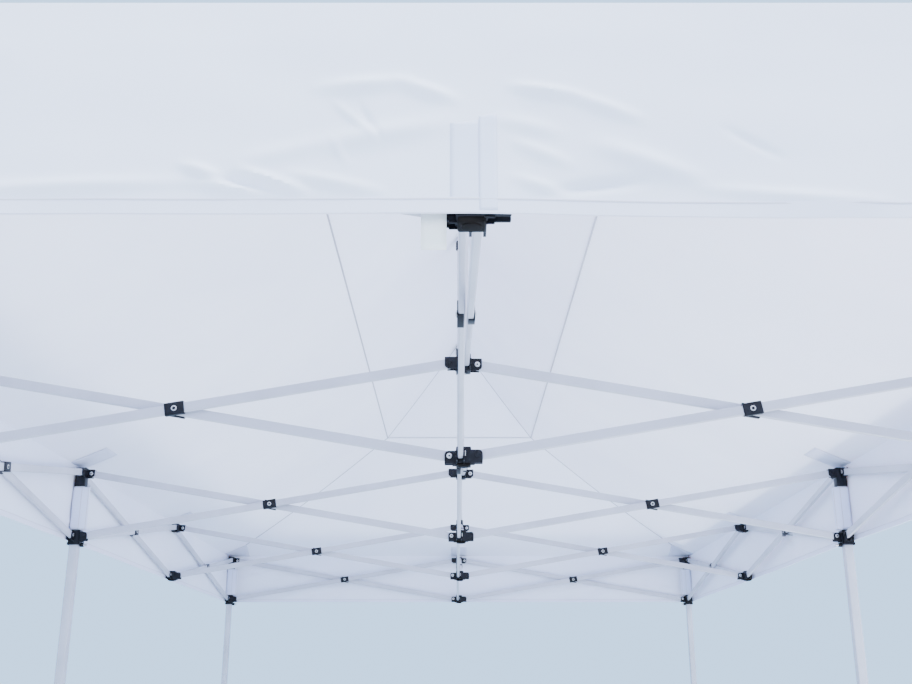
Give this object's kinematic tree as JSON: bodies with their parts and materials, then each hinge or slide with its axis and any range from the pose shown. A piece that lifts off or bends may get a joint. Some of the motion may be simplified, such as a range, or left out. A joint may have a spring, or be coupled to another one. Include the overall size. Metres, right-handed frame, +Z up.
{
  "type": "pop up canopy",
  "caption": "White 3 x 6 m pop up canopy with six legs, a folding frame of 22 scissors, three masts and a peaked fabric roof with a valance.",
  "frame": {"origin": "on the ground under the middle of the frame", "axes": "+Z up, +Y along the long side from front to back, +X to the right seen from the front"},
  "size_m": [3.03, 5.97, 3.363],
  "materials": {
    "white_steel": "white powder coat, satin",
    "black_plastic": "moulded black nylon",
    "white_fabric": "coated white polyester",
    "zinc_rivet": "zinc plated"
  },
  "bodies": {
    "leg_left_row1": {"leg_left_row1": "white_steel"},
    "upper_hub_left_row2": {"upper_hub_left_row2": "black_plastic"},
    "leg_left_row3": {"leg_left_row3": "white_steel"},
    "upper_hub_left_row4": {"upper_hub_left_row4": "black_plastic"},
    "leg_left_row5": {"leg_left_row5": "white_steel"},
    "upper_hub_centre_row1": {"upper_hub_centre_row1": "black_plastic"},
    "upper_hub_centre_row2": {"upper_hub_centre_row2": "black_plastic"},
    "upper_hub_centre_row3": {"upper_hub_centre_row3": "black_plastic"},
    "upper_hub_centre_row4": {"upper_hub_centre_row4": "black_plastic"},
    "upper_hub_centre_row5": {"upper_hub_centre_row5": "black_plastic"},
    "leg_right_row1": {"leg_right_row1": "white_steel"},
    "upper_hub_right_row2": {"upper_hub_right_row2": "black_plastic"},
    "leg_right_row3": {"leg_right_row3": "white_steel"},
    "upper_hub_right_row4": {"upper_hub_right_row4": "black_plastic"},
    "leg_right_row5": {"leg_right_row5": "white_steel"},
    "cross_bar_row1_left_down": {"cross_bar_row1_left_down": "white_steel"},
    "cross_bar_row1_left_up": {"cross_bar_row1_left_up": "white_steel"},
    "cross_bar_row1_right_down": {"cross_bar_row1_right_down": "white_steel"},
    "cross_bar_row1_right_up": {"cross_bar_row1_right_up": "white_steel"},
    "cross_bar_row2_left_down": {"cross_bar_row2_left_down": "white_steel"},
    "cross_bar_row2_left_up": {"cross_bar_row2_left_up": "white_steel"},
    "cross_bar_row2_right_down": {"cross_bar_row2_right_down": "white_steel"},
    "cross_bar_row2_right_up": {"cross_bar_row2_right_up": "white_steel"},
    "cross_bar_row3_left_down": {"cross_bar_row3_left_down": "white_steel"},
    "cross_bar_row3_left_up": {"cross_bar_row3_left_up": "white_steel"},
    "cross_bar_row3_right_down": {"cross_bar_row3_right_down": "white_steel"},
    "cross_bar_row3_right_up": {"cross_bar_row3_right_up": "white_steel"},
    "cross_bar_row4_left_down": {"cross_bar_row4_left_down": "white_steel"},
    "cross_bar_row4_left_up": {"cross_bar_row4_left_up": "white_steel"},
    "cross_bar_row4_right_down": {"cross_bar_row4_right_down": "white_steel"},
    "cross_bar_row4_right_up": {"cross_bar_row4_right_up": "white_steel"},
    "cross_bar_row5_left_down": {"cross_bar_row5_left_down": "white_steel"},
    "cross_bar_row5_left_up": {"cross_bar_row5_left_up": "white_steel"},
    "cross_bar_row5_right_down": {"cross_bar_row5_right_down": "white_steel"},
    "cross_bar_row5_right_up": {"cross_bar_row5_right_up": "white_steel"},
    "long_bar_left_bay1_down": {"long_bar_left_bay1_down": "white_steel"},
    "long_bar_left_bay1_up": {"long_bar_left_bay1_up": "white_steel"},
    "long_bar_left_bay2_down": {"long_bar_left_bay2_down": "white_steel"},
    "long_bar_left_bay2_up": {"long_bar_left_bay2_up": "white_steel"},
    "long_bar_left_bay3_down": {"long_bar_left_bay3_down": "white_steel"},
    "long_bar_left_bay3_up": {"long_bar_left_bay3_up": "white_steel"},
    "long_bar_left_bay4_down": {"long_bar_left_bay4_down": "white_steel"},
    "long_bar_left_bay4_up": {"long_bar_left_bay4_up": "white_steel"},
    "long_bar_centre_bay1_down": {"long_bar_centre_bay1_down": "white_steel"},
    "long_bar_centre_bay1_up": {"long_bar_centre_bay1_up": "white_steel"},
    "long_bar_centre_bay2_down": {"long_bar_centre_bay2_down": "white_steel"},
    "long_bar_centre_bay2_up": {"long_bar_centre_bay2_up": "white_steel"},
    "long_bar_centre_bay3_down": {"long_bar_centre_bay3_down": "white_steel"},
    "long_bar_centre_bay3_up": {"long_bar_centre_bay3_up": "white_steel"},
    "long_bar_centre_bay4_down": {"long_bar_centre_bay4_down": "white_steel"},
    "long_bar_centre_bay4_up": {"long_bar_centre_bay4_up": "white_steel"},
    "long_bar_right_bay1_down": {"long_bar_right_bay1_down": "white_steel"},
    "long_bar_right_bay1_up": {"long_bar_right_bay1_up": "white_steel"},
    "long_bar_right_bay2_down": {"long_bar_right_bay2_down": "white_steel"},
    "long_bar_right_bay2_up": {"long_bar_right_bay2_up": "white_steel"},
    "long_bar_right_bay3_down": {"long_bar_right_bay3_down": "white_steel"},
    "long_bar_right_bay3_up": {"long_bar_right_bay3_up": "white_steel"},
    "long_bar_right_bay4_down": {"long_bar_right_bay4_down": "white_steel"},
    "long_bar_right_bay4_up": {"long_bar_right_bay4_up": "white_steel"},
    "fabric_roof": {"fabric_roof": "white_fabric"}
  },
  "joints": [
    {"name": "turn_cross_bar_row1_left_down", "type": "hinge", "parent": "upper_hub_centre_row1", "child": "cross_bar_row1_left_down", "pos_m": [-0.036, -2.94, 2.35], "axis": [0, -1, 0], "range_deg": [0, 74]},
    {"name": "turn_cross_bar_row1_left_up", "type": "hinge", "parent": "cross_bar_row1_left_down", "child": "cross_bar_row1_left_up", "pos_m": [-0.735, -2.94, 2.23], "axis": [0, 1, 0], "range_deg": [0, 148]},
    {"name": "turn_leg_left_row1", "type": "hinge", "parent": "cross_bar_row1_left_up", "child": "leg_left_row1", "pos_m": [-1.434, -2.94, 2.35], "axis": [0, -1, 0], "range_deg": [0, 74]},
    {"name": "turn_cross_bar_row1_right_down", "type": "hinge", "parent": "upper_hub_centre_row1", "child": "cross_bar_row1_right_down", "pos_m": [0.036, -2.94, 2.35], "axis": [0, 1, 0], "range_deg": [0, 74]},
    {"name": "turn_cross_bar_row1_right_up", "type": "hinge", "parent": "cross_bar_row1_right_down", "child": "cross_bar_row1_right_up", "pos_m": [0.735, -2.94, 2.23], "axis": [0, -1, 0], "range_deg": [0, 148]},
    {"name": "turn_leg_right_row1", "type": "hinge", "parent": "cross_bar_row1_right_up", "child": "leg_right_row1", "pos_m": [1.434, -2.94, 2.35], "axis": [0, 1, 0], "range_deg": [0, 74]},
    {"name": "turn_cross_bar_row2_left_down", "type": "hinge", "parent": "upper_hub_centre_row2", "child": "cross_bar_row2_left_down", "pos_m": [-0.036, -1.47, 2.35], "axis": [0, -1, 0], "range_deg": [0, 74]},
    {"name": "turn_cross_bar_row2_left_up", "type": "hinge", "parent": "cross_bar_row2_left_down", "child": "cross_bar_row2_left_up", "pos_m": [-0.735, -1.47, 2.23], "axis": [0, 1, 0], "range_deg": [0, 148]},
    {"name": "turn_upper_hub_left_row2", "type": "hinge", "parent": "cross_bar_row2_left_up", "child": "upper_hub_left_row2", "pos_m": [-1.434, -1.47, 2.35], "axis": [0, -1, 0], "range_deg": [0, 74]},
    {"name": "turn_cross_bar_row2_right_down", "type": "hinge", "parent": "upper_hub_centre_row2", "child": "cross_bar_row2_right_down", "pos_m": [0.036, -1.47, 2.35], "axis": [0, 1, 0], "range_deg": [0, 74]},
    {"name": "turn_cross_bar_row2_right_up", "type": "hinge", "parent": "cross_bar_row2_right_down", "child": "cross_bar_row2_right_up", "pos_m": [0.735, -1.47, 2.23], "axis": [0, -1, 0], "range_deg": [0, 148]},
    {"name": "turn_upper_hub_right_row2", "type": "hinge", "parent": "cross_bar_row2_right_up", "child": "upper_hub_right_row2", "pos_m": [1.434, -1.47, 2.35], "axis": [0, 1, 0], "range_deg": [0, 74]},
    {"name": "fold", "type": "hinge", "parent": "upper_hub_centre_row3", "child": "cross_bar_row3_left_down", "pos_m": [-0.036, 0, 2.35], "axis": [0, -1, 0], "range_deg": [0, 74]},
    {"name": "turn_cross_bar_row3_left_up", "type": "hinge", "parent": "cross_bar_row3_left_down", "child": "cross_bar_row3_left_up", "pos_m": [-0.735, 0, 2.23], "axis": [0, 1, 0], "range_deg": [0, 148]},
    {"name": "turn_leg_left_row3", "type": "hinge", "parent": "cross_bar_row3_left_up", "child": "leg_left_row3", "pos_m": [-1.434, 0, 2.35], "axis": [0, -1, 0], "range_deg": [0, 74]},
    {"name": "turn_cross_bar_row3_right_down", "type": "hinge", "parent": "upper_hub_centre_row3", "child": "cross_bar_row3_right_down", "pos_m": [0.036, 0, 2.35], "axis": [0, 1, 0], "range_deg": [0, 74]},
    {"name": "turn_cross_bar_row3_right_up", "type": "hinge", "parent": "cross_bar_row3_right_down", "child": "cross_bar_row3_right_up", "pos_m": [0.735, 0, 2.23], "axis": [0, -1, 0], "range_deg": [0, 148]},
    {"name": "turn_leg_right_row3", "type": "hinge", "parent": "cross_bar_row3_right_up", "child": "leg_right_row3", "pos_m": [1.434, 0, 2.35], "axis": [0, 1, 0], "range_deg": [0, 74]},
    {"name": "turn_cross_bar_row4_left_down", "type": "hinge", "parent": "upper_hub_centre_row4", "child": "cross_bar_row4_left_down", "pos_m": [-0.036, 1.47, 2.35], "axis": [0, -1, 0], "range_deg": [0, 74]},
    {"name": "turn_cross_bar_row4_left_up", "type": "hinge", "parent": "cross_bar_row4_left_down", "child": "cross_bar_row4_left_up", "pos_m": [-0.735, 1.47, 2.23], "axis": [0, 1, 0], "range_deg": [0, 148]},
    {"name": "turn_upper_hub_left_row4", "type": "hinge", "parent": "cross_bar_row4_left_up", "child": "upper_hub_left_row4", "pos_m": [-1.434, 1.47, 2.35], "axis": [0, -1, 0], "range_deg": [0, 74]},
    {"name": "turn_cross_bar_row4_right_down", "type": "hinge", "parent": "upper_hub_centre_row4", "child": "cross_bar_row4_right_down", "pos_m": [0.036, 1.47, 2.35], "axis": [0, 1, 0], "range_deg": [0, 74]},
    {"name": "turn_cross_bar_row4_right_up", "type": "hinge", "parent": "cross_bar_row4_right_down", "child": "cross_bar_row4_right_up", "pos_m": [0.735, 1.47, 2.23], "axis": [0, -1, 0], "range_deg": [0, 148]},
    {"name": "turn_upper_hub_right_row4", "type": "hinge", "parent": "cross_bar_row4_right_up", "child": "upper_hub_right_row4", "pos_m": [1.434, 1.47, 2.35], "axis": [0, 1, 0], "range_deg": [0, 74]},
    {"name": "turn_cross_bar_row5_left_down", "type": "hinge", "parent": "upper_hub_centre_row5", "child": "cross_bar_row5_left_down", "pos_m": [-0.036, 2.94, 2.35], "axis": [0, -1, 0], "range_deg": [0, 74]},
    {"name": "turn_cross_bar_row5_left_up", "type": "hinge", "parent": "cross_bar_row5_left_down", "child": "cross_bar_row5_left_up", "pos_m": [-0.735, 2.94, 2.23], "axis": [0, 1, 0], "range_deg": [0, 148]},
    {"name": "turn_leg_left_row5", "type": "hinge", "parent": "cross_bar_row5_left_up", "child": "leg_left_row5", "pos_m": [-1.434, 2.94, 2.35], "axis": [0, -1, 0], "range_deg": [0, 74]},
    {"name": "turn_cross_bar_row5_right_down", "type": "hinge", "parent": "upper_hub_centre_row5", "child": "cross_bar_row5_right_down", "pos_m": [0.036, 2.94, 2.35], "axis": [0, 1, 0], "range_deg": [0, 74]},
    {"name": "turn_cross_bar_row5_right_up", "type": "hinge", "parent": "cross_bar_row5_right_down", "child": "cross_bar_row5_right_up", "pos_m": [0.735, 2.94, 2.23], "axis": [0, -1, 0], "range_deg": [0, 148]},
    {"name": "turn_leg_right_row5", "type": "hinge", "parent": "cross_bar_row5_right_up", "child": "leg_right_row5", "pos_m": [1.434, 2.94, 2.35], "axis": [0, 1, 0], "range_deg": [0, 74]},
    {"name": "turn_long_bar_left_bay1_down", "type": "hinge", "parent": "leg_left_row1", "child": "long_bar_left_bay1_down", "pos_m": [-1.47, -2.904, 2.35], "axis": [-1, 0, 0], "range_deg": [0, 74]},
    {"name": "turn_long_bar_left_bay1_up", "type": "hinge", "parent": "long_bar_left_bay1_down", "child": "long_bar_left_bay1_up", "pos_m": [-1.47, -2.205, 2.23], "axis": [1, 0, 0], "range_deg": [0, 148]},
    {"name": "turn_long_bar_left_bay2_down", "type": "hinge", "parent": "leg_left_row3", "child": "long_bar_left_bay2_down", "pos_m": [-1.47, -0.036, 2.35], "axis": [1, 0, 0], "range_deg": [0, 74]},
    {"name": "turn_long_bar_left_bay2_up", "type": "hinge", "parent": "long_bar_left_bay2_down", "child": "long_bar_left_bay2_up", "pos_m": [-1.47, -0.735, 2.23], "axis": [-1, 0, 0], "range_deg": [0, 148]},
    {"name": "turn_long_bar_left_bay3_down", "type": "hinge", "parent": "leg_left_row3", "child": "long_bar_left_bay3_down", "pos_m": [-1.47, 0.036, 2.35], "axis": [-1, 0, 0], "range_deg": [0, 74]},
    {"name": "turn_long_bar_left_bay3_up", "type": "hinge", "parent": "long_bar_left_bay3_down", "child": "long_bar_left_bay3_up", "pos_m": [-1.47, 0.735, 2.23], "axis": [1, 0, 0], "range_deg": [0, 148]},
    {"name": "turn_long_bar_left_bay4_down", "type": "hinge", "parent": "leg_left_row5", "child": "long_bar_left_bay4_down", "pos_m": [-1.47, 2.904, 2.35], "axis": [1, 0, 0], "range_deg": [0, 74]},
    {"name": "turn_long_bar_left_bay4_up", "type": "hinge", "parent": "long_bar_left_bay4_down", "child": "long_bar_left_bay4_up", "pos_m": [-1.47, 2.205, 2.23], "axis": [-1, 0, 0], "range_deg": [0, 148]},
    {"name": "turn_long_bar_centre_bay1_down", "type": "hinge", "parent": "upper_hub_centre_row2", "child": "long_bar_centre_bay1_down", "pos_m": [0, -1.506, 2.35], "axis": [1, 0, 0], "range_deg": [0, 74]},
    {"name": "turn_long_bar_centre_bay1_up", "type": "hinge", "parent": "long_bar_centre_bay1_down", "child": "long_bar_centre_bay1_up", "pos_m": [0, -2.205, 2.23], "axis": [-1, 0, 0], "range_deg": [0, 148]},
    {"name": "turn_upper_hub_centre_row1", "type": "hinge", "parent": "long_bar_centre_bay1_up", "child": "upper_hub_centre_row1", "pos_m": [0, -2.904, 2.35], "axis": [1, 0, 0], "range_deg": [0, 74]},
    {"name": "turn_long_bar_centre_bay2_down", "type": "hinge", "parent": "upper_hub_centre_row3", "child": "long_bar_centre_bay2_down", "pos_m": [0, -0.036, 2.35], "axis": [1, 0, 0], "range_deg": [0, 74]},
    {"name": "turn_long_bar_centre_bay2_up", "type": "hinge", "parent": "long_bar_centre_bay2_down", "child": "long_bar_centre_bay2_up", "pos_m": [0, -0.735, 2.23], "axis": [-1, 0, 0], "range_deg": [0, 148]},
    {"name": "turn_upper_hub_centre_row2", "type": "hinge", "parent": "long_bar_centre_bay2_up", "child": "upper_hub_centre_row2", "pos_m": [0, -1.434, 2.35], "axis": [1, 0, 0], "range_deg": [0, 74]},
    {"name": "turn_long_bar_centre_bay3_down", "type": "hinge", "parent": "upper_hub_centre_row3", "child": "long_bar_centre_bay3_down", "pos_m": [0, 0.036, 2.35], "axis": [-1, 0, 0], "range_deg": [0, 74]},
    {"name": "turn_long_bar_centre_bay3_up", "type": "hinge", "parent": "long_bar_centre_bay3_down", "child": "long_bar_centre_bay3_up", "pos_m": [0, 0.735, 2.23], "axis": [1, 0, 0], "range_deg": [0, 148]},
    {"name": "turn_upper_hub_centre_row4", "type": "hinge", "parent": "long_bar_centre_bay3_up", "child": "upper_hub_centre_row4", "pos_m": [0, 1.434, 2.35], "axis": [-1, 0, 0], "range_deg": [0, 74]},
    {"name": "turn_long_bar_centre_bay4_down", "type": "hinge", "parent": "upper_hub_centre_row4", "child": "long_bar_centre_bay4_down", "pos_m": [0, 1.506, 2.35], "axis": [-1, 0, 0], "range_deg": [0, 74]},
    {"name": "turn_long_bar_centre_bay4_up", "type": "hinge", "parent": "long_bar_centre_bay4_down", "child": "long_bar_centre_bay4_up", "pos_m": [0, 2.205, 2.23], "axis": [1, 0, 0], "range_deg": [0, 148]},
    {"name": "turn_upper_hub_centre_row5", "type": "hinge", "parent": "long_bar_centre_bay4_up", "child": "upper_hub_centre_row5", "pos_m": [0, 2.904, 2.35], "axis": [-1, 0, 0], "range_deg": [0, 74]},
    {"name": "turn_long_bar_right_bay1_down", "type": "hinge", "parent": "leg_right_row1", "child": "long_bar_right_bay1_down", "pos_m": [1.47, -2.904, 2.35], "axis": [-1, 0, 0], "range_deg": [0, 74]},
    {"name": "turn_long_bar_right_bay1_up", "type": "hinge", "parent": "long_bar_right_bay1_down", "child": "long_bar_right_bay1_up", "pos_m": [1.47, -2.205, 2.23], "axis": [1, 0, 0], "range_deg": [0, 148]},
    {"name": "turn_long_bar_right_bay2_down", "type": "hinge", "parent": "leg_right_row3", "child": "long_bar_right_bay2_down", "pos_m": [1.47, -0.036, 2.35], "axis": [1, 0, 0], "range_deg": [0, 74]},
    {"name": "turn_long_bar_right_bay2_up", "type": "hinge", "parent": "long_bar_right_bay2_down", "child": "long_bar_right_bay2_up", "pos_m": [1.47, -0.735, 2.23], "axis": [-1, 0, 0], "range_deg": [0, 148]},
    {"name": "turn_long_bar_right_bay3_down", "type": "hinge", "parent": "leg_right_row3", "child": "long_bar_right_bay3_down", "pos_m": [1.47, 0.036, 2.35], "axis": [-1, 0, 0], "range_deg": [0, 74]},
    {"name": "turn_long_bar_right_bay3_up", "type": "hinge", "parent": "long_bar_right_bay3_down", "child": "long_bar_right_bay3_up", "pos_m": [1.47, 0.735, 2.23], "axis": [1, 0, 0], "range_deg": [0, 148]},
    {"name": "turn_long_bar_right_bay4_down", "type": "hinge", "parent": "leg_right_row5", "child": "long_bar_right_bay4_down", "pos_m": [1.47, 2.904, 2.35], "axis": [1, 0, 0], "range_deg": [0, 74]},
    {"name": "turn_long_bar_right_bay4_up", "type": "hinge", "parent": "long_bar_right_bay4_down", "child": "long_bar_right_bay4_up", "pos_m": [1.47, 2.205, 2.23], "axis": [-1, 0, 0], "range_deg": [0, 148]},
    {"name": "roof_lift", "type": "slide", "parent": "upper_hub_centre_row3", "child": "fabric_roof", "axis": [0, 0, 1], "range_m": [0, 0.4]}
  ],
  "couplings": [
    {"joint": "turn_cross_bar_row1_left_down", "follows": "fold", "ratio": 1},
    {"joint": "turn_cross_bar_row1_left_up", "follows": "fold", "ratio": 2},
    {"joint": "turn_leg_left_row1", "follows": "fold", "ratio": 1},
    {"joint": "turn_cross_bar_row1_right_down", "follows": "fold", "ratio": 1},
    {"joint": "turn_cross_bar_row1_right_up", "follows": "fold", "ratio": 2},
    {"joint": "turn_leg_right_row1", "follows": "fold", "ratio": 1},
    {"joint": "turn_cross_bar_row2_left_down", "follows": "fold", "ratio": 1},
    {"joint": "turn_cross_bar_row2_left_up", "follows": "fold", "ratio": 2},
    {"joint": "turn_upper_hub_left_row2", "follows": "fold", "ratio": 1},
    {"joint": "turn_cross_bar_row2_right_down", "follows": "fold", "ratio": 1},
    {"joint": "turn_cross_bar_row2_right_up", "follows": "fold", "ratio": 2},
    {"joint": "turn_upper_hub_right_row2", "follows": "fold", "ratio": 1},
    {"joint": "turn_cross_bar_row3_left_up", "follows": "fold", "ratio": 2},
    {"joint": "turn_leg_left_row3", "follows": "fold", "ratio": 1},
    {"joint": "turn_cross_bar_row3_right_down", "follows": "fold", "ratio": 1},
    {"joint": "turn_cross_bar_row3_right_up", "follows": "fold", "ratio": 2},
    {"joint": "turn_leg_right_row3", "follows": "fold", "ratio": 1},
    {"joint": "turn_cross_bar_row4_left_down", "follows": "fold", "ratio": 1},
    {"joint": "turn_cross_bar_row4_left_up", "follows": "fold", "ratio": 2},
    {"joint": "turn_upper_hub_left_row4", "follows": "fold", "ratio": 1},
    {"joint": "turn_cross_bar_row4_right_down", "follows": "fold", "ratio": 1},
    {"joint": "turn_cross_bar_row4_right_up", "follows": "fold", "ratio": 2},
    {"joint": "turn_upper_hub_right_row4", "follows": "fold", "ratio": 1},
    {"joint": "turn_cross_bar_row5_left_down", "follows": "fold", "ratio": 1},
    {"joint": "turn_cross_bar_row5_left_up", "follows": "fold", "ratio": 2},
    {"joint": "turn_leg_left_row5", "follows": "fold", "ratio": 1},
    {"joint": "turn_cross_bar_row5_right_down", "follows": "fold", "ratio": 1},
    {"joint": "turn_cross_bar_row5_right_up", "follows": "fold", "ratio": 2},
    {"joint": "turn_leg_right_row5", "follows": "fold", "ratio": 1},
    {"joint": "turn_long_bar_left_bay1_down", "follows": "fold", "ratio": 1},
    {"joint": "turn_long_bar_left_bay1_up", "follows": "fold", "ratio": 2},
    {"joint": "turn_long_bar_left_bay2_down", "follows": "fold", "ratio": 1},
    {"joint": "turn_long_bar_left_bay2_up", "follows": "fold", "ratio": 2},
    {"joint": "turn_long_bar_left_bay3_down", "follows": "fold", "ratio": 1},
    {"joint": "turn_long_bar_left_bay3_up", "follows": "fold", "ratio": 2},
    {"joint": "turn_long_bar_left_bay4_down", "follows": "fold", "ratio": 1},
    {"joint": "turn_long_bar_left_bay4_up", "follows": "fold", "ratio": 2},
    {"joint": "turn_long_bar_centre_bay1_down", "follows": "fold", "ratio": 1},
    {"joint": "turn_long_bar_centre_bay1_up", "follows": "fold", "ratio": 2},
    {"joint": "turn_upper_hub_centre_row1", "follows": "fold", "ratio": 1},
    {"joint": "turn_long_bar_centre_bay2_down", "follows": "fold", "ratio": 1},
    {"joint": "turn_long_bar_centre_bay2_up", "follows": "fold", "ratio": 2},
    {"joint": "turn_upper_hub_centre_row2", "follows": "fold", "ratio": 1},
    {"joint": "turn_long_bar_centre_bay3_down", "follows": "fold", "ratio": 1},
    {"joint": "turn_long_bar_centre_bay3_up", "follows": "fold", "ratio": 2},
    {"joint": "turn_upper_hub_centre_row4", "follows": "fold", "ratio": 1},
    {"joint": "turn_long_bar_centre_bay4_down", "follows": "fold", "ratio": 1},
    {"joint": "turn_long_bar_centre_bay4_up", "follows": "fold", "ratio": 2},
    {"joint": "turn_upper_hub_centre_row5", "follows": "fold", "ratio": 1},
    {"joint": "turn_long_bar_right_bay1_down", "follows": "fold", "ratio": 1},
    {"joint": "turn_long_bar_right_bay1_up", "follows": "fold", "ratio": 2},
    {"joint": "turn_long_bar_right_bay2_down", "follows": "fold", "ratio": 1},
    {"joint": "turn_long_bar_right_bay2_up", "follows": "fold", "ratio": 2},
    {"joint": "turn_long_bar_right_bay3_down", "follows": "fold", "ratio": 1},
    {"joint": "turn_long_bar_right_bay3_up", "follows": "fold", "ratio": 2},
    {"joint": "turn_long_bar_right_bay4_down", "follows": "fold", "ratio": 1},
    {"joint": "turn_long_bar_right_bay4_up", "follows": "fold", "ratio": 2}
  ]
}
